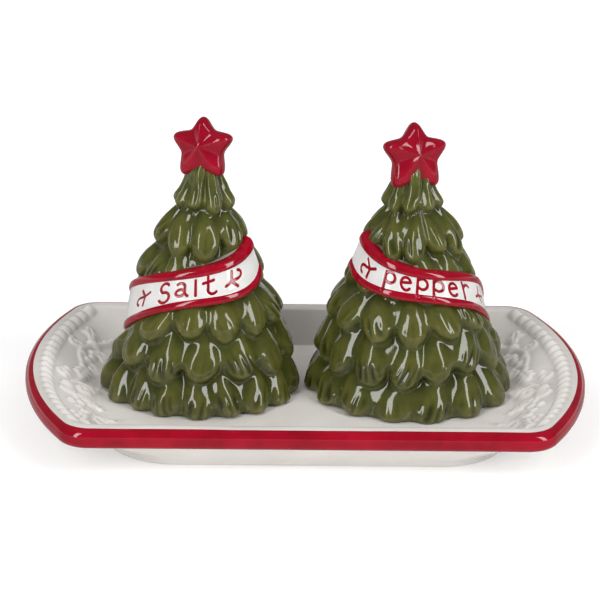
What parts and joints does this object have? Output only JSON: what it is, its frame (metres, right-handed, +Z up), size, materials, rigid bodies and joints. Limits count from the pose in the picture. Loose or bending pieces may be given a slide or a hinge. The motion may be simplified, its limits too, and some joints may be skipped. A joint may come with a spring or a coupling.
{
  "type": "salt and pepper shaker set",
  "caption": "Glazed ceramic salt and pepper shakers shaped like fir trees with stars and sashes, standing in a shallow beaded serving tray.",
  "frame": {"origin": "on the table, under the middle of the tray's foot", "axes": "+X along the tray, +Z up, the front of the set faces -Y"},
  "size_m": [0.203, 0.125, 0.1089],
  "materials": {
    "tray_glaze": "glossy white glaze with a red glazed rim",
    "tree_glaze": "glossy translucent green glaze over moulded leaves",
    "star_glaze": "glossy red glaze",
    "sash_glaze": "glossy white glaze with raised red borders",
    "stopper_soft": "soft translucent white plastic, satin"
  },
  "bodies": {
    "tray": {"tray": "tray_glaze"},
    "salt_shaker": {"salt_tree": "tree_glaze", "salt_star": "star_glaze", "salt_banner": "sash_glaze"},
    "salt_stopper": {"salt_stopper": "stopper_soft"},
    "pepper_shaker": {"pepper_tree": "tree_glaze", "pepper_star": "star_glaze", "pepper_banner": "sash_glaze"},
    "pepper_stopper": {"pepper_stopper": "stopper_soft"}
  },
  "joints": [
    {"name": "salt_lift", "type": "slide", "parent": "tray", "child": "salt_shaker", "axis": [0, 0, 1], "range_m": [0, 0.12]},
    {"name": "salt_stopper_pull", "type": "slide", "parent": "salt_shaker", "child": "salt_stopper", "axis": [0, 0, -1], "range_m": [0, 0.024]},
    {"name": "pepper_lift", "type": "slide", "parent": "tray", "child": "pepper_shaker", "axis": [0, 0, 1], "range_m": [0, 0.12]},
    {"name": "pepper_stopper_pull", "type": "slide", "parent": "pepper_shaker", "child": "pepper_stopper", "axis": [0, 0, -1], "range_m": [0, 0.024]}
  ],
  "couplings": [
    {"joint": "salt_stopper_pull", "follows": "salt_lift", "ratio": 0.2},
    {"joint": "pepper_stopper_pull", "follows": "pepper_lift", "ratio": 0.2}
  ]
}
